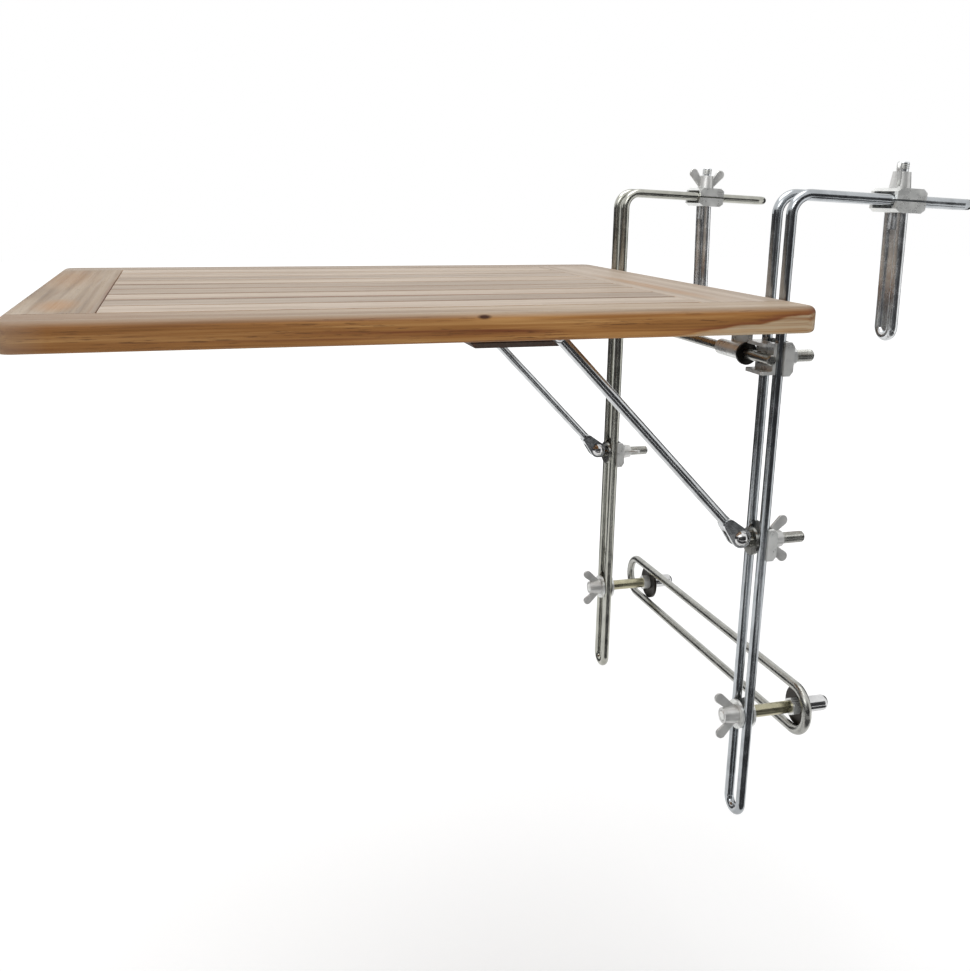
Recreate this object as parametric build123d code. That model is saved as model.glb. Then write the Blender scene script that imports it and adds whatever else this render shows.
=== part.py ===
from build123d import *
from math import asin, atan2, cos, degrees, hypot, radians, sin, sqrt, tan
import os

# Folding balcony table that hangs on a railing by two wire hooks.
# +X points over the railing, the tabletop reaches towards -X, +Y is left for someone seated
# at the table facing the railing, +Z is up. The origin lies midway between the hooks in the
# corner that sits on the rail: X = 0 is the rail-side face of the legs, Z = 0 the underside
# of the arms over the middle of the rail. All sizes are millimetres.

# Tabletop
TABLE_LENGTH = 600.0
TABLE_DEPTH = 500.0
BOARD_THICKNESS = 21.0
TABLE_DROP = 78.7
FREE_BOARD_WIDTH = 62.0
RAIL_BOARD_WIDTH = 81.0
SIDE_RAIL_WIDTH = 45.0
CORNER_RADIUS = 14.0
TOP_ROUND = 6.0
BOTTOM_ROUND = 3.5
INNER_ROUND = 1.2
SLAT_COUNT = 9
SLAT_GAP = 3.6
SHOULDER_GAP = 0.8
TONGUE_LENGTH = 12.0
TONGUE_THICKNESS = 7.0
TONGUE_PLAY = 0.15
TENON_SHOULDER = 14.0

# Batten under the slats
BATTEN_WIDTH = 82.0
BATTEN_THICKNESS = 17.0
BATTEN_CHAMFER = 4.5
BATTEN_EDGE = 11.0
BATTEN_GAP = 0.5

# Wire hooks
ROD = 9.0
SLOT_PLAY = 1.5
HOOK_SPACING = 344.0
HOOK_DROP = 575.7
ARM_REACH = 176.0
ARM_SLOPE = 2.5
BEND_RADIUS = 16.0
RAIL_MIDDLE = 25.0

# Threaded hardware
BOLT = 10.0
BOLT_CHAMFER = 0.9
HOLE_PLAY = 0.25
THREAD_PLAY = 0.05
NUT_WIDTH = 16.0
NUT_HEIGHT = 8.0
NUT_BEVEL = 0.9
WASHER_WIDTH = 20.0
WASHER_THICKNESS = 2.0

# Channel shoes that grip the two rods of a hook
SHOE_LENGTH = 29.0
SHOE_WEB = 3.0
SHOE_WALL = 2.6
SHOE_PARTING = 1.6
SHOE_STANDOFF = 2.5
SHOE_LEAN = 20.0
SHOE_BEVEL = 4.0
SEAT_GAP = 0.25

# Wing nuts
WING_SPAN = 43.0
WING_HEIGHT = 20.5
WING_THICKNESS = 2.8
WING_LOBE = 4.9
WING_ROOT = 3.6
WING_FOOT = 1.0
WING_EDGE = 0.8
HUB_WALL = 4.0
HUB_TOP_WALL = 2.4
HUB_HEIGHT = 13.5
NUT_REST = 0.2
CLAMP_TURN_RIGHT = 45.0
CLAMP_TURN_LEFT = 0.0
STRUT_TURN_RIGHT = -8.0
STRUT_TURN_LEFT = 80.0
SPACER_TURN_RIGHT = 12.0
SPACER_TURN_LEFT = 5.0

# Clamps on the arms
CLAMP_REACH_RIGHT = 108.5
CLAMP_REACH_LEFT = 103.0
FINGER_DROP = 120.0
FINGER_SPLAY = 4.0
WELD_BITE = 1.0
FINGER_WEB = 3.0
STUD_WELD = 14.0
CLAMP_STUD_TOP = 32.0

# Hinge
HINGE_ROD = 9.0
HINGE_GAP = 0.25
HINGE_DROP = 30.0
TABLE_OVERHANG = 6.5
HINGE_OVERRUN = 20.5
HINGE_STUD_END = 34.0
SADDLE_WEB = 3.0
SADDLE_WIDTH = 29.0
SADDLE_HEIGHT = 27.0
SADDLE_FLANGE = 10.0
SADDLE_CORNER = 2.0
BARREL_WALL = 2.7
BARREL_LENGTH = 44.0
BARREL_GAP = 8.5
BUSH_WIDTH = 20.0
BUSH_THICKNESS = 2.5
PIN_PLAY = 0.05
LEAF_THICKNESS = 3.0
LEAF_WIDTH = 32.0
LEAF_LENGTH = 54.0
LEAF_OFFSET = 4.0

# Struts
STRUT_ROD = 9.5
STRUT_REACH = 184.0
STRUT_FOOT = 161.5
HEAD_RADIUS = 5.6
HEAD_MARGIN = 1.4
FORK_RADIUS = 9.0
FORK_CHEEK = 3.5
FORK_DEPTH = 15.0
FORK_LENGTH = 18.0
FORK_ROOT = 5.5
FORK_TAPER = 6.0
FORK_GAP = 0.3
LUG_RADIUS = 8.2
LUG_THICKNESS = 6.0
BOLT_DROP = 5.0
FORK_CLEARANCE = 2.75
RIVET = 6.0
RIVET_HEAD = 14.5
RIVET_HEIGHT = 5.0
PIVOT_HEAD = 10.0
PIVOT_HEIGHT = 3.2
PIVOT_THREAD = 5.0
PIVOT_DEPTH = 25.0
STOP_WASHER_WIDTH = 26.0
STOP_WASHER_THICKNESS = 2.5
STRUT_BOLT_END = 42.0

# Spacer loop that keeps the hooks off the railing
SPACER_STANDOFF = 50.0
SPACER_PITCH = 44.0
SPACER_OVERRUN = 38.5
SPACER_SHIFT = 10.2
SPACER_LIFT = 107.0
SPACER_WASHER = 28.0
SPACER_WASHER_THICKNESS = 2.5
SLEEVE_WALL = 0.75
PLATE_THICKNESS = 3.0
BOLT_TAIL = 0.5
CAP_COLLAR = 19.0
CAP_COLLAR_HEIGHT = 4.0
CAP_WIDTH = 15.5
CAP_LENGTH = 29.0
CAP_ROUND = 5.5
CAP_BORE = 20.0

# Wood screws
SCREW_SHANK = 4.0
SCREW_HEAD = 8.0
SCREW_BITE = 13.0
SCREW_PLAY = 0.05

# Places worked out from the sizes
LOOP_PITCH = ROD + BOLT + 2 * SLOT_PLAY
FINGER_PITCH = ROD + BOLT - 2 * WELD_BITE
LEG_X = -ROD / 2
LEG_FACE = -ROD
HOOK_Y = HOOK_SPACING / 2
SLOPE = radians(ARM_SLOPE)
ARM_Z = ROD / 2 / cos(SLOPE) + (RAIL_MIDDLE - LEG_X) * tan(SLOPE)
TOP_Z = -TABLE_DROP
UNDERSIDE = TOP_Z - BOARD_THICKNESS
MIDDLE_Z = (TOP_Z + UNDERSIDE) / 2
HINGE_X = LEG_FACE - SEAT_GAP - SADDLE_WEB - HINGE_GAP - HINGE_ROD / 2
HINGE_Z = UNDERSIDE - HINGE_DROP
BARREL_Y = HOOK_Y - SADDLE_WIDTH / 2 - BARREL_GAP
TABLE_END = HINGE_X + TABLE_OVERHANG
TABLE_START = TABLE_END - TABLE_LENGTH
FREE_SEAM = TABLE_START + FREE_BOARD_WIDTH
RAIL_SEAM = TABLE_END - RAIL_BOARD_WIDTH
FOOT_X = LEG_FACE - SEAT_GAP - STOP_WASHER_THICKNESS - FORK_CLEARANCE - FORK_RADIUS
FOOT_Z = HINGE_Z - STRUT_FOOT
BOLT_Z = FOOT_Z - BOLT_DROP
HEAD_X = HINGE_X - STRUT_REACH
HEAD_Z = UNDERSIDE - HEAD_RADIUS - HEAD_MARGIN
SPACER_Z = SPACER_LIFT - HOOK_DROP
PLATE_WIDTH = SPACER_PITCH - ROD / 2
LUG_HALF = LUG_THICKNESS / 2
FORK_INNER = LUG_HALF + FORK_GAP
FORK_HALF = FORK_INNER + FORK_CHEEK
BATTEN_Y = HOOK_Y - STRUT_ROD / 2 - BATTEN_GAP
BATTEN_END = HEAD_X + BATTEN_EDGE
BATTEN_X = BATTEN_END - BATTEN_WIDTH / 2
SHOE_FACE = SHOE_STANDOFF + SHOE_WEB
ARM = Plane(
    origin=(LEG_X, 0, ARM_Z),
    x_dir=(cos(SLOPE), 0, -sin(SLOPE)),
    z_dir=(sin(SLOPE), 0, cos(SLOPE)),
)
SIDES = (("right", -1), ("left", 1))
NODES = {}


def block(x0, x1, y0, y1, z0, z1):
    centre = Pos((x0 + x1) / 2, (y0 + y1) / 2, (z0 + z1) / 2)
    return centre * Box(abs(x1 - x0), abs(y1 - y0), abs(z1 - z0))


def bar_x(diameter, x0, x1, y=0.0, z=0.0):
    return Pos((x0 + x1) / 2, y, z) * Rot(0, 90, 0) * Cylinder(diameter / 2, abs(x1 - x0))


def bar_y(diameter, y0, y1, x=0.0, z=0.0):
    return Pos(x, (y0 + y1) / 2, z) * Rot(90, 0, 0) * Cylinder(diameter / 2, abs(y1 - y0))


def bar_z(diameter, z0, z1, x=0.0, y=0.0):
    return Pos(x, y, (z0 + z1) / 2) * Cylinder(diameter / 2, abs(z1 - z0))


def bevel_ends(bar, axis):
    ends = bar.edges().filter_by(GeomType.CIRCLE).sort_by(axis)
    return chamfer([ends[0], ends[-1]], BOLT_CHAMFER)


def round_wire(edges, diameter):
    # Round wire swept along edges that join smoothly
    path = Wire(edges)
    section = Plane(origin=path @ 0, z_dir=path % 0) * Circle(diameter / 2)
    return sweep(section, path=path)


def domed_pin(head, height, shank, length):
    # Domed head on the plane Y = 0 rising along +Y, round shank reaching back along -Y
    half = head / 2
    radius = (height ** 2 + half ** 2) / (2 * height)
    halfway = asin(half / radius) / 2
    bulge = (radius * sin(halfway), height - radius + radius * cos(halfway))
    outline = [
        Line((0, height), (0, -length)),
        Line((0, -length), (shank / 2, -length)),
        Line((shank / 2, -length), (shank / 2, 0)),
        Line((shank / 2, 0), (half, 0)),
        ThreePointArc((half, 0), bulge, (0, height)),
    ]
    return revolve(make_face(outline), Axis.Y)


# Hook: one closed loop of wire, bent over at the top into the arm
def hook_loop():
    half = LOOP_PITCH / 2
    bottom = ROD / 2 - HOOK_DROP
    tangent = BEND_RADIUS / tan(radians(90 - ARM_SLOPE) / 2)
    reach = (ARM_REACH - ROD / 2 - LEG_X) / cos(SLOPE)
    low = Vector(LEG_X, half, ARM_Z - tangent)
    high = ARM.from_local_coords(Vector(tangent, half, 0))
    centre = Vector(LEG_X + BEND_RADIUS, half, low.Z)
    out = Vector(-cos(radians(45 + ARM_SLOPE / 2)), 0, sin(radians(45 + ARM_SLOPE / 2)))
    middle = centre + out * BEND_RADIUS
    diagonal = half * sqrt(0.5)
    edges = [
        Edge.make_three_point_arc(
            Vector(LEG_X, 0, bottom),
            Vector(LEG_X, diagonal, bottom + half - diagonal),
            Vector(LEG_X, half, bottom + half),
        ),
        Edge.make_line(Vector(LEG_X, half, bottom + half), low),
        Edge.make_three_point_arc(low, middle, high),
        Edge.make_line(high, ARM.from_local_coords(Vector(reach - half, half, 0))),
        Edge.make_three_point_arc(
            ARM.from_local_coords(Vector(reach - half, half, 0)),
            ARM.from_local_coords(Vector(reach - half + diagonal, diagonal, 0)),
            ARM.from_local_coords(Vector(reach, 0, 0)),
        ),
    ]
    side = round_wire(edges, ROD)
    return side + mirror(side, about=Plane.XZ)


# Shoe: web on the plane X = 0 facing +X, walls reaching back over the rods, rods along Z
def shoe():
    end = SHOE_LENGTH / 2
    lean = radians(SHOE_LEAN)
    depth = SHOE_STANDOFF + (ROD - SHOE_PARTING) / 2
    hold = LOOP_PITCH / 2 + (ROD / 2 + SEAT_GAP) / cos(lean)
    root = hold - (SHOE_STANDOFF + ROD / 2) * tan(lean)
    tip = root + depth * tan(lean)
    beyond = depth + SHOE_WEB
    mouth = root + beyond * tan(lean)
    outline = Polyline(
        (-depth, -end),
        (0, -end),
        (SHOE_WEB, SHOE_BEVEL - end),
        (SHOE_WEB, end - SHOE_BEVEL),
        (0, end),
        (-depth, end),
        close=True,
    )
    body = extrude(Plane.XZ * make_face(outline), amount=tip + SHOE_WALL, both=True)
    channel = Polyline((0, -root), (0, root), (-beyond, mouth), (-beyond, -mouth), close=True)
    body -= extrude(make_face(channel), amount=SHOE_LENGTH, both=True)
    return body - bar_x(BOLT + 2 * HOLE_PLAY, -1, SHOE_WEB + 1)


# Wing nut: seat on the plane X = 0, axis along +X, wings spread along Z
def wing_nut():
    base = BOLT / 2 + HUB_WALL
    top = BOLT / 2 + HUB_TOP_WALL
    hub = Pos(HUB_HEIGHT / 2, 0, 0) * Rot(0, 90, 0) * Cone(base, top, HUB_HEIGHT)
    root = Pos(WING_ROOT + WING_FOOT, top) * Circle(WING_ROOT)
    lobe = Pos(WING_HEIGHT - WING_LOBE, WING_SPAN / 2 - WING_LOBE) * Circle(WING_LOBE)
    outline = make_hull([*root.edges(), *lobe.edges()])
    wing = extrude(Plane.XZ * outline, amount=WING_THICKNESS / 2, both=True)
    rims = wing.faces().sort_by(Axis.Y)
    wing = fillet([*rims[0].edges(), *rims[-1].edges()], WING_EDGE)
    body = hub + wing + mirror(wing, about=Plane.XY)
    return body - bar_x(BOLT + 2 * THREAD_PLAY, -1, WING_HEIGHT + 1)


def hexagon(height):
    # Hexagonal prism from X = 0 along +X with its corners taken off
    prism = extrude(RegularPolygon(NUT_WIDTH / 2, 6, major_radius=False), height)
    turned = Pos(0, 0, height / 2) * Cylinder(NUT_WIDTH / sqrt(3), height)
    turned = chamfer(turned.edges().filter_by(GeomType.CIRCLE), NUT_BEVEL)
    return Rot(0, 90, 0) * (prism & turned)


def hex_nut():
    return hexagon(NUT_HEIGHT) - bar_x(BOLT + 2 * THREAD_PLAY, -1, NUT_HEIGHT + 1)


def cap_nut():
    body = bar_x(CAP_WIDTH, 0, CAP_LENGTH)
    body = fillet(body.edges().filter_by(GeomType.CIRCLE).sort_by(Axis.X)[-1], CAP_ROUND)
    body += bar_x(CAP_COLLAR, 0, CAP_COLLAR_HEIGHT)
    return body - bar_x(BOLT + 2 * THREAD_PLAY, -1, CAP_BORE)


def washer(width, thickness):
    return bar_x(width, 0, thickness) - bar_x(BOLT + 2 * HOLE_PLAY, -1, thickness + 1)


# Countersunk wood screw driven upwards: head face on Z = 0, grown by a play for its hole
def wood_screw(length, play=0.0):
    radius = SCREW_SHANK / 2 + play
    sink = (SCREW_HEAD - SCREW_SHANK) / 2
    profile = Polyline(
        (0, 0),
        (SCREW_HEAD / 2 + play, 0),
        (radius, sink),
        (radius, length - SCREW_SHANK),
        (0, length + play),
        close=True,
    )
    return revolve(Plane.XZ * make_face(profile), Axis.Z)


def rim_edges(body, height):
    return [e for e in body.edges() if abs(e.center().Z - height) < 0.01]


def tongue(x0, x1, y0, y1, play=0.0):
    tall = TONGUE_THICKNESS / 2 + play
    return block(x0, x1, y0, y1, MIDDLE_Z - tall, MIDDLE_Z + tall)


# End board: lies between the side rails, grooved inside, with a tenon into each rail
def end_board(outer, seam):
    way = 1 if outer > seam else -1
    half = TABLE_DEPTH / 2 - SIDE_RAIL_WIDTH
    body = block(seam, outer, -half, half, UNDERSIDE, TOP_Z)
    for height, x, radius in (
        (TOP_Z, outer, TOP_ROUND),
        (UNDERSIDE, outer, BOTTOM_ROUND),
        (TOP_Z, seam, INNER_ROUND),
    ):
        edge = [e for e in rim_edges(body, height) if abs(e.center().X - x) < 0.01]
        body = fillet(edge, radius)
    deep = seam + way * (TONGUE_LENGTH + 2 * TONGUE_PLAY)
    body -= tongue(seam, deep, -half, half, TONGUE_PLAY)
    far = half + TONGUE_LENGTH
    return body + tongue(seam + way * TENON_SHOULDER, outer - way * TENON_SHOULDER, -far, far)


def long_edges(body, y, z):
    near = [e for e in body.edges().filter_by(Axis.X) if abs(e.center().Y - y) < 0.01]
    return [e for e in near if abs(e.center().Z - z) < 0.01]


# Side rail: runs the full length, rounded outside, mortised inside for the end boards
def side_rail(side):
    outer = side * TABLE_DEPTH / 2
    inner = outer - side * SIDE_RAIL_WIDTH
    body = block(TABLE_START, TABLE_END, outer, inner, UNDERSIDE, TOP_Z)
    corners = [e for e in body.edges().filter_by(Axis.Z) if abs(e.center().Y - outer) < 0.01]
    body = fillet(corners, CORNER_RADIUS)
    for height, radius in ((TOP_Z, TOP_ROUND), (UNDERSIDE, BOTTOM_ROUND)):
        rim = [e for e in rim_edges(body, height) if abs(e.center().Y - inner) > 0.01]
        body = fillet(rim, radius)
    body = fillet(long_edges(body, inner, TOP_Z), INNER_ROUND)
    deep = inner + side * (TONGUE_LENGTH + 2 * TONGUE_PLAY)
    shoulder = TENON_SHOULDER - TONGUE_PLAY
    for seam, end, way in ((FREE_SEAM, TABLE_START, -1), (RAIL_SEAM, TABLE_END, 1)):
        body -= tongue(seam + way * shoulder, end - way * shoulder, inner, deep, TONGUE_PLAY)
    return body


def slat_places():
    span = TABLE_DEPTH - 2 * SIDE_RAIL_WIDTH
    width = (span - (SLAT_COUNT + 1) * SLAT_GAP) / SLAT_COUNT
    first = -span / 2 + SLAT_GAP + width / 2
    return width, [first + index * (width + SLAT_GAP) for index in range(SLAT_COUNT)]


# Each slat that the batten reaches takes one screw, kept clear of the batten's ends
def batten_screws(y, width):
    limit = BATTEN_Y - SCREW_HEAD
    inside = max(-limit, min(limit, y))
    if abs(inside - y) > width / 2 - SCREW_HEAD / 2:
        return []
    return [Pos(BATTEN_X, inside, UNDERSIDE - BATTEN_THICKNESS)]


def slat(y, width):
    y0 = y - width / 2
    y1 = y + width / 2
    body = block(FREE_SEAM + SHOULDER_GAP, RAIL_SEAM - SHOULDER_GAP, y0, y1, UNDERSIDE, TOP_Z)
    for edge_y in (y0, y1):
        body = fillet(long_edges(body, edge_y, TOP_Z), INNER_ROUND)
    body += tongue(FREE_SEAM - TONGUE_LENGTH, RAIL_SEAM + TONGUE_LENGTH, y0, y1)
    for place in batten_screws(y, width):
        body -= place * wood_screw(BATTEN_THICKNESS + SCREW_BITE, SCREW_PLAY)
    return body


def tabletop():
    width, places = slat_places()
    board = block(BATTEN_END - BATTEN_WIDTH, BATTEN_END, -BATTEN_Y, BATTEN_Y,
                  UNDERSIDE - BATTEN_THICKNESS, UNDERSIDE)
    rim = board.faces().sort_by(Axis.Z)[0].edges()
    batten = chamfer(rim, BATTEN_CHAMFER)
    screws = []
    for index, y in enumerate(places):
        NODES[f"slat_{index + 1}"] = slat(y, width)
        for place in batten_screws(y, width):
            screws.append(place * wood_screw(BATTEN_THICKNESS + SCREW_BITE))
            batten -= place * wood_screw(BATTEN_THICKNESS + SCREW_BITE, SCREW_PLAY)
    for name, side in SIDES:
        deep = side * (BATTEN_Y - PIVOT_DEPTH)
        batten -= bar_y(PIVOT_THREAD, side * BATTEN_Y, deep, HEAD_X, HEAD_Z)
    NODES["batten"] = batten
    for name, side in SIDES:
        NODES[f"side_rail_{name}"] = side_rail(side)
    NODES["end_board_free"] = end_board(TABLE_START, FREE_SEAM)
    rail_board = end_board(TABLE_END, RAIL_SEAM)
    bushes = []
    for name, side in SIDES:
        leaf, places = hinge_leaf(side)
        for place in places:
            hole = place * wood_screw(LEAF_THICKNESS + SCREW_BITE, SCREW_PLAY)
            leaf -= hole
            rail_board -= hole
            screws.append(place * wood_screw(LEAF_THICKNESS + SCREW_BITE))
        NODES[f"hinge_leaf_{name}"] = leaf
        bushes.append(hinge_bush(side))
    NODES["end_board_rail"] = rail_board
    NODES["hinge_bushes"] = Compound(children=bushes)
    NODES["wood_screws"] = Compound(children=screws)


# Hinge leaf: plate under the end board, web down to the barrel on the hinge rod
def hinge_leaf(side):
    outer = side * BARREL_Y
    barrel_end = outer - side * BARREL_LENGTH
    leaf_end = outer - side * LEAF_WIDTH
    half = LEAF_THICKNESS / 2
    body = bar_y(HINGE_ROD + 2 * PIN_PLAY + 2 * BARREL_WALL, outer, barrel_end, HINGE_X, HINGE_Z)
    face = HINGE_X + LEAF_OFFSET + half
    body += block(face - LEAF_THICKNESS, face, outer, leaf_end, HINGE_Z, UNDERSIDE)
    plate_end = face - LEAF_LENGTH
    body += block(plate_end, face, outer, leaf_end, UNDERSIDE - LEAF_THICKNESS, UNDERSIDE)
    body -= bar_y(HINGE_ROD + 2 * PIN_PLAY, outer + side, barrel_end - side, HINGE_X, HINGE_Z)
    middle = (outer + leaf_end) / 2
    offset = LEAF_WIDTH / 2 - SCREW_HEAD
    height = UNDERSIDE - LEAF_THICKNESS
    places = [
        Pos(HINGE_X - LEAF_LENGTH / 3, middle, height),
        Pos(plate_end + SCREW_HEAD, middle - offset, height),
        Pos(plate_end + SCREW_HEAD, middle + offset, height),
    ]
    return body, places


# Bush: dark flange on the outer end of a barrel
def hinge_bush(side):
    outer = side * BARREL_Y
    far = outer + side * BUSH_THICKNESS
    ring = bar_y(BUSH_WIDTH, outer, far, HINGE_X, HINGE_Z)
    return ring - bar_y(HINGE_ROD + 2 * PIN_PLAY, outer - side, far + side, HINGE_X, HINGE_Z)


# Saddle: C-shaped block behind the hinge rod, flanges above and below it
def saddle(y):
    back = LEG_FACE - SEAT_GAP
    front = back - SADDLE_WEB
    tip = front - SADDLE_FLANGE
    half = SADDLE_WIDTH / 2
    tall = SADDLE_HEIGHT / 2
    body = block(back, tip, y - half, y + half, HINGE_Z - tall, HINGE_Z + tall)
    body -= block(front, tip - 1, y - half - 1, y + half + 1,
                  HINGE_Z - tall + SADDLE_WEB, HINGE_Z + tall - SADDLE_WEB)
    tips = body.edges().filter_by(Axis.Z).group_by(Axis.X)[0]
    body = chamfer(tips, SADDLE_CORNER)
    return body - bar_x(BOLT + 2 * HOLE_PLAY, back + 1, front - 1, y, HINGE_Z)


def hinge():
    end = HOOK_Y + HINGE_OVERRUN
    rod = bevel_ends(bar_y(HINGE_ROD, -end, end, HINGE_X, HINGE_Z), Axis.Y)
    washers = []
    nuts = []
    for name, side in SIDES:
        y = side * HOOK_Y
        stud = bar_x(BOLT, HINGE_X, HINGE_STUD_END, y, HINGE_Z)
        stud = chamfer(stud.edges().filter_by(GeomType.CIRCLE).sort_by(Axis.X)[-1], BOLT_CHAMFER)
        rod += stud
        NODES[f"hinge_saddle_{name}"] = saddle(y)
        NODES[f"hinge_shoe_{name}"] = Pos(SHOE_STANDOFF, y, HINGE_Z) * shoe()
        washers.append(Pos(SHOE_FACE, y, HINGE_Z) * washer(WASHER_WIDTH, WASHER_THICKNESS))
        nuts.append(Pos(SHOE_FACE + WASHER_THICKNESS, y, HINGE_Z) * hex_nut())
    NODES["hinge_rod"] = rod
    NODES["hinge_washers"] = Compound(children=washers)
    NODES["hinge_nuts"] = Compound(children=nuts)


# Finger: hairpin of wire hanging behind the rail, closed by a thin web, with a stud on top
def finger():
    half = FINGER_PITCH / 2
    top = -ROD / 2 - SHOE_FACE - SEAT_GAP
    start = top + ROD
    bottom = -FINGER_DROP + ROD / 2
    edges = [
        Edge.make_line(Vector(0, half, start), Vector(0, half, bottom + half)),
        Edge.make_three_point_arc(
            Vector(0, half, bottom + half),
            Vector(0, 0, bottom),
            Vector(0, -half, bottom + half),
        ),
        Edge.make_line(Vector(0, -half, bottom + half), Vector(0, -half, start)),
    ]
    web = block(-FINGER_WEB / 2, FINGER_WEB / 2, -half, half, bottom + half, start)
    web += bar_x(FINGER_PITCH, -FINGER_WEB / 2, FINGER_WEB / 2, 0, bottom + half)
    legs = round_wire(edges, ROD) + web
    legs = Pos(0, 0, top) * Rot(0, -FINGER_SPLAY, 0) * Pos(0, 0, -top) * legs
    legs -= block(-ROD, ROD, -FINGER_PITCH, FINGER_PITCH, top, start + ROD)
    stud = bar_z(BOLT, top - STUD_WELD, CLAMP_STUD_TOP)
    stud = chamfer(stud.edges().filter_by(GeomType.CIRCLE).sort_by(Axis.Z)[-1], BOLT_CHAMFER)
    return legs + stud


def arm_clamp(name, side, reach, turn):
    place = Pos(0, side * HOOK_Y, 0) * ARM.location * Pos(reach, 0, 0)
    seat = ROD / 2 + SHOE_STANDOFF
    NODES[f"clamp_finger_{name}"] = place * finger()
    NODES[f"clamp_upper_shoe_{name}"] = place * Pos(0, 0, seat) * Rot(0, -90, 0) * shoe()
    NODES[f"clamp_lower_shoe_{name}"] = place * Pos(0, 0, -seat) * Rot(0, 90, 0) * shoe()
    nut = Pos(0, 0, seat + SHOE_WEB + NUT_REST) * Rot(0, -90, 0) * Rot(turn, 0, 0) * wing_nut()
    NODES[f"clamp_wing_nut_{name}"] = place * nut


# Strut: eye at the batten, round bar, fork at the foot; drawn along +X, then leant over
def strut():
    length = hypot(FOOT_X - HEAD_X, FOOT_Z - HEAD_Z)
    lean = degrees(atan2(HEAD_Z - FOOT_Z, FOOT_X - HEAD_X))
    head = bar_y(2 * HEAD_RADIUS, -STRUT_ROD / 2, STRUT_ROD / 2)
    bar = bar_x(STRUT_ROD, 0, length - FORK_LENGTH)
    tip = Pos(length, 0) * Circle(FORK_RADIUS)
    root = Pos(length - FORK_LENGTH, 0) * Circle(FORK_ROOT)
    cheeks = make_hull([*tip.edges(), *root.edges()])
    fork = extrude(Plane.XZ * cheeks, amount=FORK_HALF, both=True)
    slot = length - FORK_DEPTH
    fork -= block(slot, length + 2 * FORK_RADIUS, -FORK_INNER, FORK_INNER, -FORK_RADIUS, FORK_RADIUS)
    back = length - FORK_LENGTH - FORK_TAPER
    taper = Pos(back + FORK_TAPER / 2, 0, 0) * Rot(0, 90, 0)
    body = head + bar + taper * Cone(STRUT_ROD / 2, FORK_ROOT, FORK_TAPER) + fork
    body -= bar_y(RIVET + 2 * PIN_PLAY, -STRUT_ROD, STRUT_ROD)
    body -= bar_y(RIVET, -2 * FORK_HALF, 2 * FORK_HALF, length)
    return Pos(HEAD_X, 0, HEAD_Z) * Rot(0, lean, 0) * body


# Eye bolt: flat lug between the fork's cheeks, then a round bolt through the slot of the hook
def eye_bolt():
    start = FOOT_X + FORK_RADIUS + FORK_CLEARANCE / 3
    collar = LEG_FACE - SEAT_GAP - STOP_WASHER_THICKNESS
    body = bar_y(2 * LUG_RADIUS, -LUG_HALF, LUG_HALF, FOOT_X, FOOT_Z)
    body += block(FOOT_X, collar, -LUG_HALF, LUG_HALF, BOLT_Z - BOLT / 2, FOOT_Z + LUG_RADIUS / 2)
    bolt = bar_x(BOLT, start, STRUT_BOLT_END, 0, BOLT_Z)
    bolt = chamfer(bolt.edges().filter_by(GeomType.CIRCLE).sort_by(Axis.X)[-1], BOLT_CHAMFER)
    return body + bolt - bar_y(RIVET, -LUG_THICKNESS, LUG_THICKNESS, FOOT_X, FOOT_Z)


def strut_set(name, side, turn):
    y = side * HOOK_Y
    NODES[f"strut_{name}"] = Pos(0, y, 0) * strut()
    rivets = []
    for face in (-1, 1):
        turned = Rot(0, 0, 0 if face > 0 else 180)
        pin = turned * domed_pin(RIVET_HEAD, RIVET_HEIGHT, RIVET, FORK_CHEEK)
        rivets.append(Pos(FOOT_X, y + face * FORK_HALF, FOOT_Z) * pin)
    NODES[f"strut_rivets_{name}"] = Compound(children=rivets)
    NODES[f"eye_bolt_{name}"] = Pos(0, y, 0) * eye_bolt()
    stop = Pos(LEG_FACE - SEAT_GAP - STOP_WASHER_THICKNESS, y, BOLT_Z)
    NODES[f"strut_washer_{name}"] = stop * washer(STOP_WASHER_WIDTH, STOP_WASHER_THICKNESS)
    NODES[f"strut_shoe_{name}"] = Pos(SHOE_STANDOFF, y, BOLT_Z) * shoe()
    nut = Pos(SHOE_FACE + NUT_REST, y, BOLT_Z) * Rot(turn, 0, 0) * wing_nut()
    NODES[f"strut_wing_nut_{name}"] = nut
    reach = STRUT_ROD + BATTEN_GAP + NUT_REST
    screw = domed_pin(PIVOT_HEAD, PIVOT_HEIGHT, RIVET, reach)
    thread = PIVOT_THREAD - 2 * SCREW_PLAY
    screw += bar_y(thread, -reach, -reach - PIVOT_DEPTH + SCREW_PLAY)
    outward = Rot(0, 0, 0 if side > 0 else 180)
    place = Pos(HEAD_X, side * (BATTEN_Y + reach), HEAD_Z)
    NODES[f"strut_pivot_screw_{name}"] = place * outward * screw


# Spacer: long loop of wire across both hooks, bolted through their slots
def spacer_loop():
    half = SPACER_PITCH / 2
    end = HOOK_Y + SPACER_OVERRUN - ROD / 2
    diagonal = half * sqrt(0.5)
    edges = [
        Edge.make_three_point_arc(
            Vector(0, -end, 0),
            Vector(0, -end + half - diagonal, diagonal),
            Vector(0, -end + half, half),
        ),
        Edge.make_line(Vector(0, -end + half, half), Vector(0, end - half, half)),
        Edge.make_three_point_arc(
            Vector(0, end - half, half),
            Vector(0, end - half + diagonal, diagonal),
            Vector(0, end, 0),
        ),
    ]
    upper = round_wire(edges, ROD)
    loop = upper + mirror(upper, about=Plane.XY)
    return Pos(SPACER_STANDOFF, SPACER_SHIFT, SPACER_Z) * loop


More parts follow.
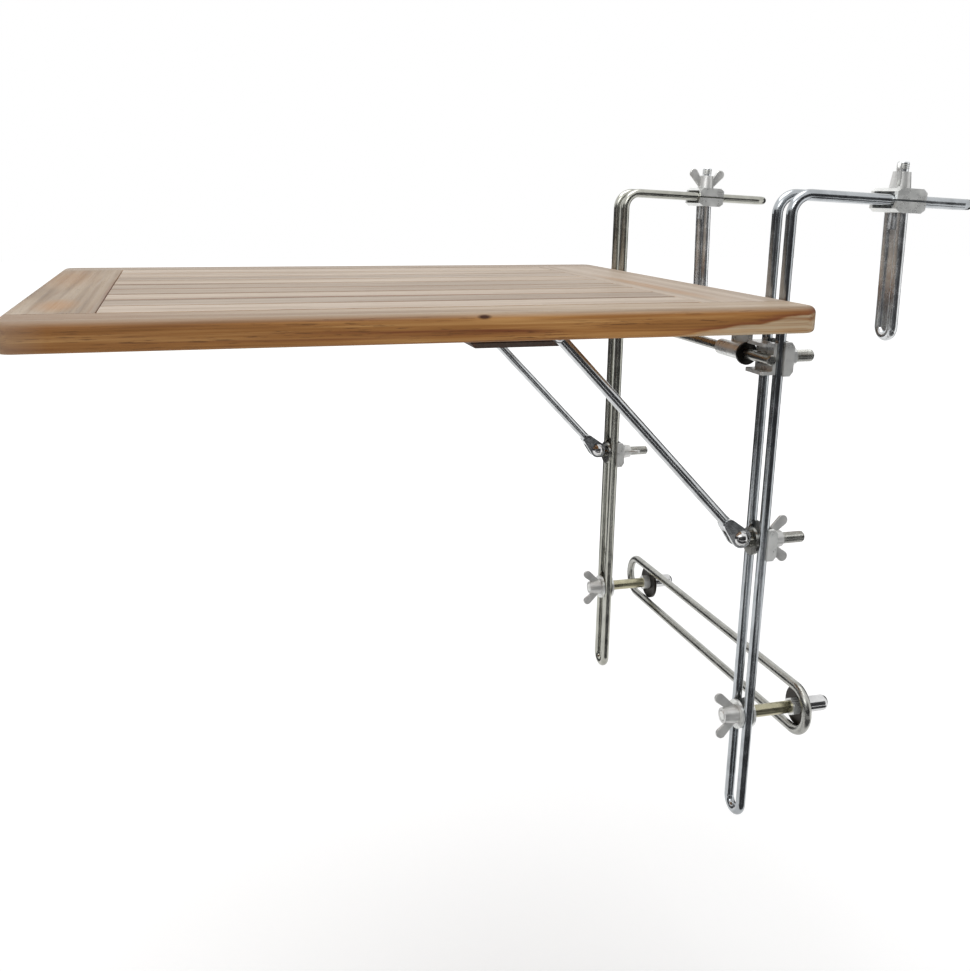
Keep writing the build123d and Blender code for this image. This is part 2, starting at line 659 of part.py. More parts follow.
def spacer(turns):
    NODES["spacer_loop"] = spacer_loop()
    bolts = []
    washers = []
    sleeves = []
    nuts = []
    plates = []
    caps = []
    bite = (SPACER_PITCH - PLATE_WIDTH) / 2
    back = SPACER_STANDOFF + sqrt((ROD / 2) ** 2 - bite ** 2) + SEAT_GAP
    nut_seat = back - NUT_HEIGHT
    washer_face = SEAT_GAP + SPACER_WASHER_THICKNESS
    wing_seat = LEG_FACE - washer_face - NUT_REST
    sleeve_width = BOLT + 2 * HOLE_PLAY + 2 * SLEEVE_WALL
    for name, side in SIDES:
        y = side * HOOK_Y
        for x in (LEG_FACE - washer_face, SEAT_GAP):
            washers.append(Pos(x, y, SPACER_Z) * washer(SPACER_WASHER, SPACER_WASHER_THICKNESS))
        sleeves.append(Pos(washer_face, y, SPACER_Z) * washer(sleeve_width, nut_seat - washer_face))
        nuts.append(Pos(nut_seat, y, SPACER_Z) * hex_nut())
        plates.append(Pos(back, y, SPACER_Z) * washer(PLATE_WIDTH, PLATE_THICKNESS))
        caps.append(Pos(back + PLATE_THICKNESS, y, SPACER_Z) * cap_nut())
        start = wing_seat - HUB_HEIGHT - BOLT_TAIL
        end = back + PLATE_THICKNESS + CAP_BORE - 1
        bolts.append(bevel_ends(bar_x(BOLT, start, end, y, SPACER_Z), Axis.X))
        place = Pos(wing_seat, y, SPACER_Z) * Rot(0, 0, 180) * Rot(turns[name], 0, 0)
        NODES[f"spacer_wing_nut_{name}"] = place * wing_nut()
    NODES["spacer_bolts"] = Compound(children=bolts)
    NODES["spacer_washers"] = Compound(children=washers)
    NODES["spacer_sleeves"] = Compound(children=sleeves)
    NODES["spacer_nuts"] = Compound(children=nuts)
    NODES["spacer_plates"] = Compound(children=plates)
    NODES["spacer_cap_nuts"] = Compound(children=caps)


tabletop()
hinge()
for name, side in SIDES:
    NODES[f"hook_frame_{name}"] = Pos(0, side * HOOK_Y, 0) * hook_loop()
arm_clamp("right", -1, CLAMP_REACH_RIGHT, CLAMP_TURN_RIGHT)
arm_clamp("left", 1, CLAMP_REACH_LEFT, CLAMP_TURN_LEFT)
strut_set("right", -1, STRUT_TURN_RIGHT)
strut_set("left", 1, STRUT_TURN_LEFT)
spacer({"right": SPACER_TURN_RIGHT, "left": SPACER_TURN_LEFT})

os.makedirs("parts", exist_ok=True)
for name, shape in NODES.items():
    export_step(shape, f"parts/{name}.step")
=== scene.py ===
import math

import bpy
from mathutils import Matrix, Vector


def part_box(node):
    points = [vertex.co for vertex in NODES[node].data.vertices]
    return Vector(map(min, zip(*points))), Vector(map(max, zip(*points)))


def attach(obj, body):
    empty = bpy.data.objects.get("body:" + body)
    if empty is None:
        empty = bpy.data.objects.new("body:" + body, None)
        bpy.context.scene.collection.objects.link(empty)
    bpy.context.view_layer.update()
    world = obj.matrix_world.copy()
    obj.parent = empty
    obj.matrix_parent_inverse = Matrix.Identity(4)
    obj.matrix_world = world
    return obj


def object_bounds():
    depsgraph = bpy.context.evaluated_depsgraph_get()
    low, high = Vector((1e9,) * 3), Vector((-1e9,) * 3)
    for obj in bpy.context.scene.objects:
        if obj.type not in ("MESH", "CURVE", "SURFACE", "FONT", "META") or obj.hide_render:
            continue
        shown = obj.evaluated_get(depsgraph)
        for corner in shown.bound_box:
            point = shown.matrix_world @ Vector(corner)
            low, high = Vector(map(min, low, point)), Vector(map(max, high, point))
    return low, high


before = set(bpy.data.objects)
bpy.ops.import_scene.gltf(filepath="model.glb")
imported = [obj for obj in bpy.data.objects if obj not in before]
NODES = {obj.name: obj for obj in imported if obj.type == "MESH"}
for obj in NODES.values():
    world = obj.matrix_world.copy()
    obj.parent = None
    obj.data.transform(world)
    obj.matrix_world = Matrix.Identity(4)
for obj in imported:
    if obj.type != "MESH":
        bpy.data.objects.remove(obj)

# Looks of a folding balcony table: weathered hardwood top on bright zinc-plated wire hooks.
# Metres, in the frame of the solids: +X over the railing, +Z up, the right hook at -Y.

CAD_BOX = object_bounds()
SIDES = ("right", "left")
SLAT_COUNT = 9


# Node trees

# Sockets of a Mix node that mixes colours
MIX_FIRST = 6
MIX_SECOND = 7
MIX_RESULT = 2


def make_material(name):
    material = bpy.data.materials.new(name)
    material.use_nodes = True
    tree = material.node_tree
    tree.nodes.clear()
    output = tree.nodes.new("ShaderNodeOutputMaterial")
    surface = tree.nodes.new("ShaderNodeBsdfPrincipled")
    tree.links.new(surface.outputs["BSDF"], output.inputs["Surface"])
    return material, tree, surface


def is_socket(value):
    return isinstance(value, bpy.types.NodeSocket)


def put(tree, socket, value):
    if is_socket(value):
        tree.links.new(value, socket)
    else:
        socket.default_value = value


def add(tree, kind, settings=None, **inputs):
    node = tree.nodes.new("ShaderNode" + kind)
    for key, value in (settings or {}).items():
        setattr(node, key, value)
    for key, value in inputs.items():
        put(tree, node.inputs[key.replace("_", " ")], value)
    return node


def object_place(tree):
    return tree.nodes.new("ShaderNodeTexCoord").outputs["Object"]


def split_place(tree):
    return add(tree, "SeparateXYZ", Vector=object_place(tree)).outputs


def split_normal(tree):
    normal = tree.nodes.new("ShaderNodeTexCoord").outputs["Normal"]
    return add(tree, "SeparateXYZ", Vector=normal).outputs


def stretched(tree, scale, offset, lean=0.0):
    turned = add(tree, "Mapping", Vector=object_place(tree), Rotation=(0.0, lean, 0.0))
    mapping = add(tree, "Mapping", Vector=turned.outputs["Vector"], Scale=scale, Location=offset)
    return mapping.outputs["Vector"]


def noise(tree, vector, scale=1.0, detail=4.0, roughness=0.55, distortion=0.0):
    node = add(tree, "TexNoise", Vector=vector, Scale=scale, Detail=detail,
               Roughness=roughness, Distortion=distortion)
    return node.outputs["Fac"]


def ramp(tree, factor, stops, colours):
    node = add(tree, "ValToRGB", Fac=factor)
    elements = node.color_ramp.elements
    while len(elements) < len(stops):
        elements.new(0.5)
    for element, position, colour in zip(elements, stops, colours):
        element.position = position
        element.color = (*colour, 1.0)
    return node.outputs["Color"]


def mix(tree, factor, first, second):
    node = add(tree, "Mix", {"data_type": "RGBA"}, Factor=factor)
    for socket, colour in ((MIX_FIRST, first), (MIX_SECOND, second)):
        put(tree, node.inputs[socket], colour if is_socket(colour) else (*colour, 1.0))
    return node.outputs[MIX_RESULT]


def span(tree, value, low, high, start=0.0, end=1.0):
    node = add(tree, "MapRange", {"clamp": True}, Value=value,
               From_Min=low, From_Max=high, To_Min=start, To_Max=end)
    return node.outputs["Result"]


def maths(tree, operation, *values):
    node = add(tree, "Math", {"operation": operation})
    for socket, value in zip(node.inputs, values):
        put(tree, socket, value)
    return node.outputs["Value"]


def product(tree, first, *others):
    for other in others:
        first = maths(tree, "MULTIPLY", first, other)
    return first


def bump(tree, surface, height, strength, distance):
    node = add(tree, "Bump", Height=height, Strength=strength, Distance=distance)
    tree.links.new(node.outputs["Normal"], surface.inputs["Normal"])


def patch(tree, centre, radii):
    # One at the centre of an ellipsoid and nought at its skin
    place = add(tree, "Mapping", {"vector_type": "TEXTURE"}, Vector=object_place(tree),
                Location=centre, Scale=radii)
    length = add(tree, "VectorMath", {"operation": "LENGTH"}, Vector=place.outputs["Vector"])
    return span(tree, length.outputs["Value"], 0.0, 1.0, 1.0, 0.0)


def above_line(tree, first, second):
    # Height over a sloping line through two points given as X and Z
    slope = (second[1] - first[1]) / (second[0] - first[0])
    place = split_place(tree)
    line = maths(tree, "ADD", product(tree, place["X"], slope), first[1] - slope * first[0])
    return maths(tree, "SUBTRACT", place["Z"], line)


# Weathered hardwood: greyed where it faces the sky, warm brown on its edges

TOP_TONES = ((0.20, 0.145, 0.10), (0.375, 0.30, 0.232), (0.50, 0.43, 0.36))
WARM_TONES = ((0.17, 0.112, 0.068), (0.335, 0.255, 0.18), (0.45, 0.37, 0.285))
SIDE_TONES = ((0.055, 0.015, 0.003), (0.305, 0.135, 0.037), (0.66, 0.39, 0.15))
# The batten's near-black tones and end grain are painted shade for the shadow under the top
BATTEN_SHADED_TONES = ((0.02, 0.01, 0.005), (0.045, 0.022, 0.011), (0.08, 0.042, 0.022))
TONE_STOPS = (0.34, 0.5, 0.66)
END_GRAIN = ((0.15, 0.08, 0.046), (0.36, 0.22, 0.145))
BATTEN_SHADED_ENDS = ((0.012, 0.006, 0.003), (0.05, 0.024, 0.012))
END_STOPS = (0.36, 0.62)
PORE_COLOUR = (0.07, 0.026, 0.01)
STREAK_COLOUR = (0.16, 0.045, 0.016)

# Noise drawn out along the grain, in cells per metre along and across it
FIGURE = {"along": 2.2, "across": 26.0, "distortion": 0.9}
BANDS = {"along": 1.6, "across": 130.0, "detail": 3.0, "distortion": 0.4}
FIBRE = {"along": 9.0, "across": 520.0, "detail": 6.0}
STREAKS = {"along": 3.4, "across": 210.0, "detail": 2.0, "distortion": 0.6}
PORES = {"along": 60.0, "across": 1000.0, "detail": 3.0}
CLUSTERS = {"along": 7.0, "across": 160.0, "detail": 2.0}
SPECKLE = {"scale": 900.0, "roughness": 0.6}
SEED_STEPS = (0.731, 1.937, 0.417)

# Shares of the noises in the tone, and the stretches of noise that show as marks
FIGURE_SHARE = 0.45
BANDS_SHARE = 0.35
FIBRE_SHARE = 0.2
STREAK_RANGE = (0.56, 0.72)
PORE_RANGE = (0.55, 0.66)
CLUSTER_RANGE = (0.42, 0.62)
FIBRE_RANGE = (0.3, 0.7)

# Strength of the marks on the sides and on the top, and how faces turn from one to the other
SIDE_STREAKS = 0.85
TOP_STREAKS = 0.32
SIDE_PORES = 0.75
TOP_PORES = 0.25
SKY_TURN = (0.35, 0.92)
PORE_TURN = (0.3, 0.95)
SAWN_TURN = (0.35, 0.9)

WOOD_ROUGHNESS = (0.42, 0.6)
WOOD_SPECULAR = 0.2
PORE_RELIEF = 0.6
WOOD_BUMP = 0.35
WOOD_BUMP_DEPTH = 0.0004


def grain_scale(grain, along, across):
    return tuple(along if axis == grain else across for axis in "XYZ")


def drawn_out(tree, grain, shift, along, across, detail=4.0, distortion=0.0):
    place = stretched(tree, grain_scale(grain, along, across), shift)
    return noise(tree, place, detail=detail, distortion=distortion)


def shade(tones, level):
    return tuple(tuple(channel * level for channel in tone) for tone in tones)


def wood_tone(tree, grain, shift, fibre):
    figure = drawn_out(tree, grain, shift, **FIGURE)
    bands = drawn_out(tree, grain, shift, **BANDS)
    tone = maths(tree, "ADD", product(tree, figure, FIGURE_SHARE), product(tree, bands, BANDS_SHARE))
    return maths(tree, "ADD", tone, product(tree, fibre, FIBRE_SHARE))


def pore_mask(tree, grain, shift):
    pores = span(tree, drawn_out(tree, grain, shift, **PORES), *PORE_RANGE)
    clusters = span(tree, drawn_out(tree, grain, shift, **CLUSTERS), *CLUSTER_RANGE)
    return product(tree, pores, clusters)


def end_grain(tree, shift, tones):
    speckle = noise(tree, stretched(tree, (1.0, 1.0, 1.0), shift), **SPECKLE)
    return ramp(tree, speckle, END_STOPS, tones)


def wood(name, grain, seed, level=1.0, top=TOP_TONES, side=SIDE_TONES, ends=END_GRAIN, extra=None):
    material, tree, surface = make_material(name)
    shift = tuple(seed * step for step in SEED_STEPS)
    fibre = drawn_out(tree, grain, shift, **FIBRE)
    tone = wood_tone(tree, grain, shift, fibre)
    streaks = span(tree, drawn_out(tree, grain, shift, **STREAKS), *STREAK_RANGE)
    pores = pore_mask(tree, grain, shift)
    normal = split_normal(tree)

    weathered = ramp(tree, tone, TONE_STOPS, shade(top, level))
    weathered = mix(tree, product(tree, streaks, TOP_STREAKS), weathered, STREAK_COLOUR)
    fresh = ramp(tree, tone, TONE_STOPS, side)
    fresh = mix(tree, product(tree, streaks, SIDE_STREAKS), fresh, STREAK_COLOUR)
    sawn = span(tree, maths(tree, "ABSOLUTE", normal[grain]), *SAWN_TURN)
    fresh = mix(tree, sawn, fresh, end_grain(tree, shift, ends))
    colour = mix(tree, span(tree, normal["Z"], *SKY_TURN), fresh, weathered)
    pore_strength = span(tree, normal["Z"], *PORE_TURN, SIDE_PORES, TOP_PORES)
    colour = mix(tree, product(tree, pores, pore_strength), colour, PORE_COLOUR)
    if extra:
        colour = extra(tree, colour)

    tree.links.new(colour, surface.inputs["Base Color"])
    put(tree, surface.inputs["Roughness"], span(tree, fibre, *FIBRE_RANGE, *WOOD_ROUGHNESS))
    surface.inputs["Specular IOR Level"].default_value = WOOD_SPECULAR
    relief = maths(tree, "SUBTRACT", fibre, product(tree, pores, PORE_RELIEF))
    bump(tree, surface, relief, WOOD_BUMP, WOOD_BUMP_DEPTH)
    return material


# Marks on the right rail: darker heartwood, a greyed corner, a knot, and pale sapwood under a streak

HEARTWOOD = (0.13, 0.05, 0.014)
HEARTWOOD_FADE = (-0.58, -0.2)
HEARTWOOD_STRENGTH = 0.36
CORNER_GREY = (0.27, 0.19, 0.13)
CORNER_FADE = (-0.612, -0.575)
CORNER_STRENGTH = 0.75
KNOT_PLACE = (-0.2846, -0.25, -0.0815)
KNOT_SIZE = (0.007, 0.012, 0.0022)
KNOT_EDGE = (0.1, 0.6)
KNOT_COLOUR = (0.05, 0.016, 0.006)
SAPWOOD_LINE = ((-0.1313, -0.0985), (-0.0161, -0.0845))
SAPWOOD_START = (-0.20, -0.09)
SAPWOOD_EDGE = (-0.0012, 0.0006)
SAPWOOD_COLOUR = (0.47, 0.37, 0.245)
SAPWOOD_GRAIN = (8.0, 300.0, 300.0)
SAPWOOD_SHIFT = (4.0, 1.0, 7.0)
SAPWOOD_RANGE = (0.40, 0.58)
SAPWOOD_STRENGTH = (0.1, 0.85)
EDGE_GRAIN = (14.0, 60.0, 60.0)
EDGE_SHIFT = (2.0, 5.0, 1.0)
EDGE_RANGE = (0.3, 0.7)
EDGE_WANDER = 0.0022
HEART_STREAK = (0.17, 0.045, 0.02)
HEART_STREAK_STRENGTH = 0.7
STREAK_FOOT = 0.001
STREAK_HEIGHT = 0.0045


def sapwood_marks(tree, colour, along):
    reach = span(tree, along, *SAPWOOD_START)
    edge = noise(tree, stretched(tree, EDGE_GRAIN, EDGE_SHIFT))
    wander = span(tree, edge, *EDGE_RANGE, -EDGE_WANDER, EDGE_WANDER)
    height = maths(tree, "ADD", above_line(tree, *SAPWOOD_LINE), wander)
    grain = noise(tree, stretched(tree, SAPWOOD_GRAIN, SAPWOOD_SHIFT))
    pale = product(tree, span(tree, height, *SAPWOOD_EDGE, 1.0, 0.0), reach,
                   span(tree, grain, *SAPWOOD_RANGE, *SAPWOOD_STRENGTH))
    colour = mix(tree, pale, colour, SAPWOOD_COLOUR)
    streak = product(tree, span(tree, height, 0.0, STREAK_FOOT),
                     span(tree, height, STREAK_FOOT, STREAK_HEIGHT, 1.0, 0.0), reach,
                     HEART_STREAK_STRENGTH)
    return mix(tree, streak, colour, HEART_STREAK)


def near_rail_marks(tree, colour):
    along = split_place(tree)["X"]
    colour = mix(tree, span(tree, along, *HEARTWOOD_FADE, HEARTWOOD_STRENGTH, 0.0), colour, HEARTWOOD)
    colour = mix(tree, span(tree, along, *CORNER_FADE, CORNER_STRENGTH, 0.0), colour, CORNER_GREY)
    knot = span(tree, patch(tree, KNOT_PLACE, KNOT_SIZE), *KNOT_EDGE)
    colour = mix(tree, knot, colour, KNOT_COLOUR)
    return sapwood_marks(tree, colour, along)


# Marks on the end boards: rusty stains, each with its middle, size, soft edge and strength

STAIN_COLOUR = (0.33, 0.185, 0.085)
NEAR_STAIN = ((-0.578, -0.15, -0.0787), (0.018, 0.055, 0.02), 0.7, 0.85)
FAR_STAIN = ((-0.59, 0.10, -0.0787), (0.03, 0.13, 0.02), 0.7, 0.45)
SEAM_STAIN = ((-0.07, -0.06, -0.0787), (0.012, 0.16, 0.02), 0.6, 0.6)


def stained(tree, colour, middle, size, edge, strength):
    stain = span(tree, patch(tree, middle, size), 0.0, edge, 0.0, strength)
    return mix(tree, stain, colour, STAIN_COLOUR)


def free_board_marks(tree, colour):
    return stained(tree, stained(tree, colour, *NEAR_STAIN), *FAR_STAIN)


def rail_board_marks(tree, colour):
    return stained(tree, colour, *SEAM_STAIN)


# Painted shade on the slats: the faces that look at the next slat are darkened for the shade in the
# gaps

GAP_SHADE_COLOUR = (0.05, 0.022, 0.009)
GAP_SHADE_TURN = (0.6, 0.95)
GAP_SHADE_STRENGTH = 0.9


def painted_gap_shade(tree, colour):
    across = maths(tree, "ABSOLUTE", split_normal(tree)["Y"])
    return mix(tree, span(tree, across, *GAP_SHADE_TURN, 0.0, GAP_SHADE_STRENGTH), colour, GAP_SHADE_COLOUR)


# Bright zinc plating with a soft mottle and fine drawing marks

MOTTLE_SCALE = (70.0, 70.0, 70.0)
MOTTLE_DETAIL = 5.0
MOTTLE_STOPS = (0.3, 0.62)
MOTTLE_RANGE = (0.3, 0.7)
MOTTLE_DULLING = 0.72
SMOOTHER = 0.05
ROUGHER = 0.07
MARKS_ALONG = 25.0
MARKS_ACROSS = 900.0
MARKS_DETAIL = 3.0
MARKS_RANGE = (0.55, 0.75)
MARKS_ROUGHNESS = 0.08
MARKS_BUMP = 0.03
MARKS_BUMP_DEPTH = 0.0001

# Lean of the struts from upright, seen along Y
STRUT_LEAN = math.radians(43.9)


def zinc(name, tint, roughness, along="Z", seed=0.0, metallic=1.0, lean=0.0):
    material, tree, surface = make_material(name)
    shift = (seed, seed * 1.7, seed * 0.6)
    mottle = noise(tree, stretched(tree, MOTTLE_SCALE, shift), detail=MOTTLE_DETAIL)
    marks_place = stretched(tree, grain_scale(along, MARKS_ALONG, MARKS_ACROSS), shift, lean)
    marks = noise(tree, marks_place, detail=MARKS_DETAIL)
    dull = tuple(MOTTLE_DULLING * channel for channel in tint)
    tree.links.new(ramp(tree, mottle, MOTTLE_STOPS, (dull, tint)), surface.inputs["Base Color"])
    surface.inputs["Metallic"].default_value = metallic
    even = span(tree, mottle, *MOTTLE_RANGE, roughness - SMOOTHER, roughness + ROUGHER)
    scratched = span(tree, marks, *MARKS_RANGE, 0.0, MARKS_ROUGHNESS)
    put(tree, surface.inputs["Roughness"], maths(tree, "ADD", even, scratched))
    bump(tree, surface, marks, MARKS_BUMP, MARKS_BUMP_DEPTH)
    return material


# Materials of the pieces

SLAT_FIRST_SEED = 5.0
SLAT_CONTRAST = 0.11
SLAT_TURN = 2.4


def give(material, *names):
    for name in names:
        data = NODES[name].data
        data.materials.clear()
        data.materials.append(material)


give(wood("board_free", "Y", 1.0, 0.92, top=WARM_TONES, extra=free_board_marks), "end_board_free")
give(wood("board_rail", "Y", 2.0, 1.02, extra=rail_board_marks), "end_board_rail")
give(wood("rail_right", "X", 3.0, 1.05, top=WARM_TONES, extra=near_rail_marks), "side_rail_right")
give(wood("rail_left", "X", 4.0, 0.9), "side_rail_left")
# Each slat carries painted shade on its faces toward the next slat
for index in range(1, SLAT_COUNT + 1):
    lightness = 1.0 + SLAT_CONTRAST * math.sin(SLAT_TURN * index)
    slat = f"slat_{index}"
    give(wood(slat, "X", SLAT_FIRST_SEED + index, lightness, extra=painted_gap_shade), slat)
# The batten is coloured near black as painted shade for the shadow under the top
give(wood("batten", "Y", 17.0, top=BATTEN_SHADED_TONES, side=BATTEN_SHADED_TONES, ends=BATTEN_SHADED_ENDS), "batten")

zinc_right = zinc("zinc_right", (0.47, 0.495, 0.515), 0.17)
zinc_left = zinc("zinc_left", (0.47, 0.47, 0.42), 0.19, seed=3.0)
zinc_finger = zinc("zinc_finger", (0.80, 0.82, 0.83), 0.24, seed=4.0)
zinc_strut = zinc("zinc_strut", (0.68, 0.70, 0.71), 0.17, seed=6.0, lean=STRUT_LEAN)
# Darker zinc for the cross pieces; it also serves as painted shade on the eye bolts and strut washers
zinc_cross_and_painted_shade = zinc("zinc_cross_and_painted_shade", (0.46, 0.46, 0.43), 0.26, along="Y", seed=5.0)
plated = zinc("plated", (0.82, 0.83, 0.81), 0.28, along="X", seed=8.0, metallic=0.66)
wings = zinc("wings", (0.70, 0.70, 0.685), 0.34, along="X", seed=9.0, metallic=0.65)
bright = zinc("bright", (0.72, 0.72, 0.72), 0.12, seed=11.0)
olive = zinc("olive", (0.50, 0.47, 0.33), 0.26, along="X", seed=13.0)
dark = zinc("dark", (0.05, 0.048, 0.045), 0.38, seed=15.0)
# Near-black zinc for the spacer plates: painted shade for the shadow inside the spacer loop
brown = zinc("brown", (0.045, 0.04, 0.035), 0.38, seed=16.0)
for side, rods in zip(SIDES, (zinc_right, zinc_left)):
    give(rods, f"hook_frame_{side}")
    give(zinc_finger, f"clamp_finger_{side}")
    give(zinc_strut, f"strut_{side}")
    give(bright, f"strut_rivets_{side}", f"strut_pivot_screw_{side}")
    give(plated, f"hinge_leaf_{side}", f"hinge_saddle_{side}", f"hinge_shoe_{side}",
         f"clamp_upper_shoe_{side}", f"clamp_lower_shoe_{side}", f"strut_shoe_{side}")
    # The eye bolts and strut washers take the darker zinc as painted shade, for the shade between the
    # rods
    give(zinc_cross_and_painted_shade, f"eye_bolt_{side}", f"strut_washer_{side}")
    give(wings, f"clamp_wing_nut_{side}", f"strut_wing_nut_{side}", f"spacer_wing_nut_{side}")
give(zinc_cross_and_painted_shade, "spacer_loop", "hinge_rod")
give(plated, "hinge_washers", "hinge_nuts", "spacer_bolts", "spacer_washers", "spacer_nuts")
give(bright, "wood_screws", "spacer_cap_nuts")
give(olive, "spacer_sleeves")
# The spacer plates are coloured near black as painted shade for their place in shadow inside the loop
give(brown, "spacer_plates")
give(dark, "hinge_bushes")


# Threads: a ridge wound round the bare length of each stud

STUD_RADIUS = 0.005
THREAD_PITCH = 0.0015
THREAD_RISE = 0.0003
THREAD_STEPS = 20
THREAD_MARGIN = 0.0012
ARM_SLOPE = math.radians(2.5)
CLAMP_RISE = Vector((math.sin(ARM_SLOPE), 0.0, math.cos(ARM_SLOPE)))
CLAMP_STUD = 0.032
CLAMP_NUT_TOP = 0.0237
HUB_HEIGHT = 0.0135
OUTWARD = Vector((1.0, 0.0, 0.0))


def thread(name, start, direction, length, body):
    direction = direction.normalized()
    aside = direction.orthogonal().normalized()
    other = direction.cross(aside)
    root = STUD_RADIUS - THREAD_RISE
    sections = ((root, 0.0), (STUD_RADIUS + THREAD_RISE, 0.5), (root, 1.0))
    turns = (length - 2 * THREAD_MARGIN) / THREAD_PITCH - 1.0
    points = []
    faces = []
    for step in range(int(turns * THREAD_STEPS) + 1):
        angle = 2 * math.pi * step / THREAD_STEPS
        outward = aside * math.cos(angle) + other * math.sin(angle)
        for radius, lift in sections:
            height = THREAD_MARGIN + THREAD_PITCH * (step / THREAD_STEPS + lift)
            points.append(start + direction * height + outward * radius)
        if step:
            new = len(sections) * step
            old = new - len(sections)
            faces += [(old, new, new + 1, old + 1), (old + 1, new + 1, new + 2, old + 2)]
    mesh = bpy.data.meshes.new(name)
    mesh.from_pydata(points, [], faces)
    mesh.materials.append(zinc_cross_and_painted_shade)
    ridge = bpy.data.objects.new(name, mesh)
    bpy.context.scene.collection.objects.link(ridge)
    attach(ridge, body)


def middle_of(node):
    low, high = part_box(node)
    return (Vector(low) + Vector(high)) / 2


for side in SIDES:
    hook_y = middle_of(f"hook_frame_{side}").y
    start = Vector((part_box("hinge_nuts")[1][0], hook_y, middle_of("hinge_nuts").z))
    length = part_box("hinge_rod")[1][0] - start.x
    thread(f"hinge_thread_{side}", start, OUTWARD, length, "hinge_carriage")
    hub_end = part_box(f"strut_wing_nut_{side}")[0][0] + HUB_HEIGHT
    start = Vector((hub_end, hook_y, middle_of(f"strut_washer_{side}").z))
    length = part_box(f"eye_bolt_{side}")[1][0] - start.x
    thread(f"strut_thread_{side}", start, OUTWARD, length, f"eye_bolt_{side}")
    axle = (middle_of(f"clamp_upper_shoe_{side}") + middle_of(f"clamp_lower_shoe_{side}")) / 2
    start = axle + CLAMP_RISE * CLAMP_NUT_TOP
    thread(f"clamp_thread_{side}", start, CLAMP_RISE, CLAMP_STUD - CLAMP_NUT_TOP, f"clamp_{side}")


# Camera, fitted to the photo

IMAGE_WIDTH = 970
FOCAL_PIXELS = 1050.2
SENSOR = 36.0
CAMERA_PLACE = Vector((-0.4906, -0.9721, 0.0036))
CAMERA_RIGHT = Vector((0.96193, -0.27306, 0.01161))
CAMERA_DOWN = Vector((-0.06254, -0.26126, -0.96324))
CAMERA_FORWARD = Vector((0.26605, 0.92584, -0.26839))

camera = bpy.data.cameras.new("camera")
camera.sensor_width = SENSOR
camera.lens = FOCAL_PIXELS / IMAGE_WIDTH * SENSOR
viewer = bpy.data.objects.new("camera", camera)
bpy.context.scene.collection.objects.link(viewer)
turn = Matrix((CAMERA_RIGHT, -CAMERA_DOWN, -CAMERA_FORWARD)).transposed().to_4x4()
viewer.matrix_world = Matrix.Translation(CAMERA_PLACE) @ turn
bpy.context.scene.camera = viewer


# Studio: white surroundings, a pale floor, soft lamps, and dark cards that only the metal shows

WHITE = (1.0, 1.0, 1.0, 1.0)
WORLD_LIGHT = 0.6
WORLD_SEEN = 1.0

# The floor glows a little to the eye, less near the part so that its shadow stays
FLOOR_COLOUR = (0.86, 0.86, 0.86, 1.0)
FLOOR_SIZE = 30.0
FLOOR_DROP = 0.42
FLOOR_MIDDLE = (-0.3, 0.1, 0.0)
FLOOR_REACH = (3.0, 3.0, 1.0)
NEAR_ENOUGH = 0.8
NEAR_GLOW = 0.2
FAR_GLOW = 0.6

CARD_COLOUR = (0.06, 0.06, 0.063, 1.0)
CARD_LIFT = 0.02
PART_MIDDLE = (-0.2, 0.0, -0.2)


def white_to_eye(tree):
    path = tree.nodes.new("ShaderNodeLightPath").outputs
    seen = maths(tree, "MAXIMUM", path["Is Camera Ray"], path["Is Glossy Ray"])
    return maths(tree, "MAXIMUM", seen, path["Is Transmission Ray"])


def matte(name, colour):
    material, tree, surface = make_material(name)
    surface.inputs["Base Color"].default_value = colour
    surface.inputs["Roughness"].default_value = 1.0
    surface.inputs["Specular IOR Level"].default_value = 0.0
    return material, tree, surface


def aimed(place, target):
    aim = (Vector(target) - Vector(place)).to_track_quat("-Z", "Y").to_matrix().to_4x4()
    return Matrix.Translation(Vector(place)) @ aim


def soft_lamp(name, place, size, power):
    lamp = bpy.data.lights.new(name, "AREA")
    lamp.shape = "SQUARE"
    lamp.size = size
    lamp.energy = power
    holder = bpy.data.objects.new(name, lamp)
    bpy.context.scene.collection.objects.link(holder)
    holder.matrix_world = aimed(place, PART_MIDDLE)


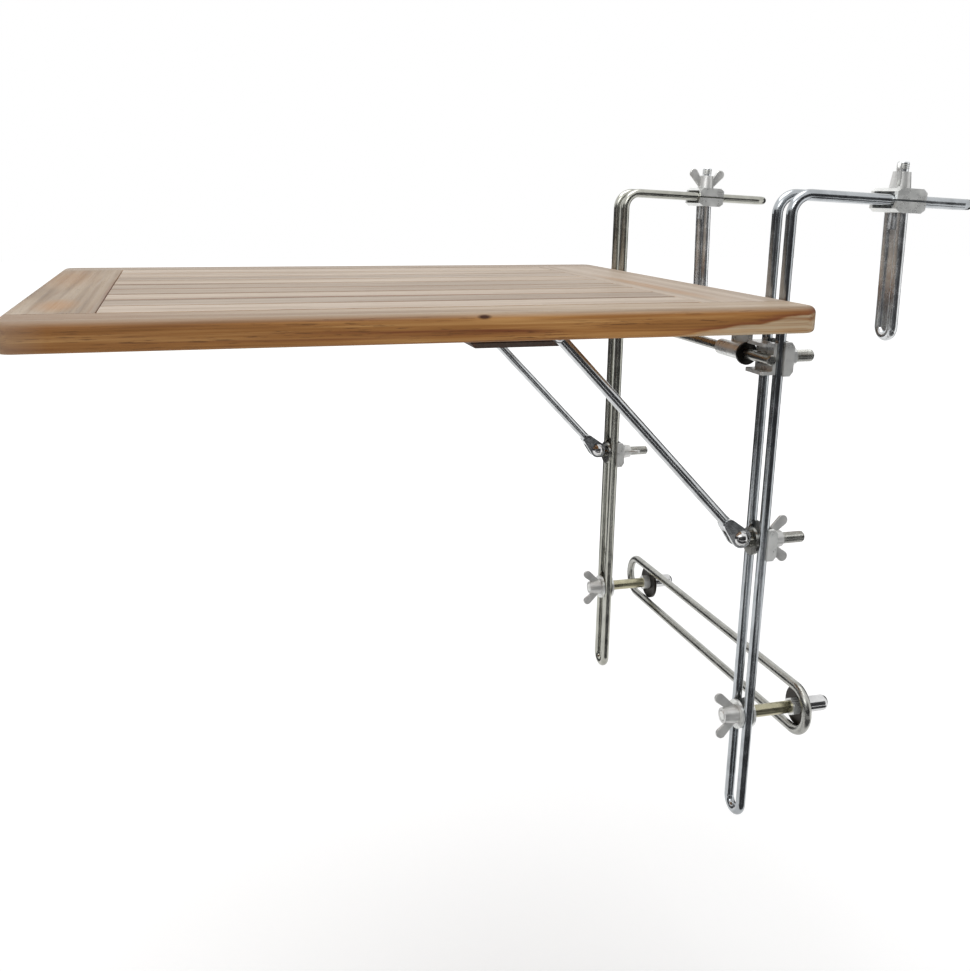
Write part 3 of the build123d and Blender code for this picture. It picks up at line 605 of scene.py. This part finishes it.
def dark_card(name, place, target, width, height):
    bpy.ops.mesh.primitive_plane_add(size=1.0)
    card = bpy.context.object
    card.name = name
    card.matrix_world = aimed(place, target) @ Matrix.Diagonal((width, height, 1.0, 1.0))
    card.data.materials.append(card_material)
    card.visible_camera = False
    card.visible_diffuse = False
    card.visible_shadow = False


world = bpy.data.worlds.new("studio")
bpy.context.scene.world = world
world.use_nodes = True
world_tree = world.node_tree
world_tree.nodes.clear()
world_output = world_tree.nodes.new("ShaderNodeOutputWorld")
world_strength = span(world_tree, white_to_eye(world_tree), 0.0, 1.0, WORLD_LIGHT, WORLD_SEEN)
world_light = add(world_tree, "Background", Color=WHITE, Strength=world_strength)
world_tree.links.new(world_light.outputs["Background"], world_output.inputs["Surface"])

floor_height = CAD_BOX[0][2] - FLOOR_DROP
bpy.ops.mesh.primitive_plane_add(size=FLOOR_SIZE, location=(0.0, 0.0, floor_height))
floor = bpy.context.object
floor.name = "floor"
floor_material, floor_tree, floor_surface = matte("floor", FLOOR_COLOUR)
nearness = patch(floor_tree, FLOOR_MIDDLE, FLOOR_REACH)
glow = span(floor_tree, nearness, 0.0, NEAR_ENOUGH, FAR_GLOW, NEAR_GLOW)
floor_surface.inputs["Emission Color"].default_value = WHITE
put(floor_tree, floor_surface.inputs["Emission Strength"],
    product(floor_tree, white_to_eye(floor_tree), glow))
floor.data.materials.append(floor_material)

soft_lamp("overhead", place=(-0.6, 0.2, 2.4), size=2.2, power=42.0)
soft_lamp("front", place=(-1.6, -2.4, 1.3), size=1.6, power=26.0)

card_material = matte("card", CARD_COLOUR)[0]
dark_card("card_front", place=(-0.3, -1.5, -0.1), target=(-0.3, 0.0, -0.1), width=3.4, height=1.5)
dark_card("card_floor", place=(-0.5, -1.0, floor_height + CARD_LIFT), target=(-0.5, -1.0, 1.0),
          width=3.0, height=1.1)
dark_card("card_left", place=(-2.2, -0.2, -0.1), target=(0.0, -0.2, -0.1), width=2.6, height=1.5)
dark_card("card_back_right", place=(1.5, 0.5, -0.2), target=(0.0, 0.0, -0.2), width=1.1, height=1.6)
dark_card("card_back_left", place=(-0.95, 1.35, -0.45), target=(0.0, -0.17, -0.45),
          width=1.8, height=1.05)

bpy.context.scene.view_settings.view_transform = "Standard"
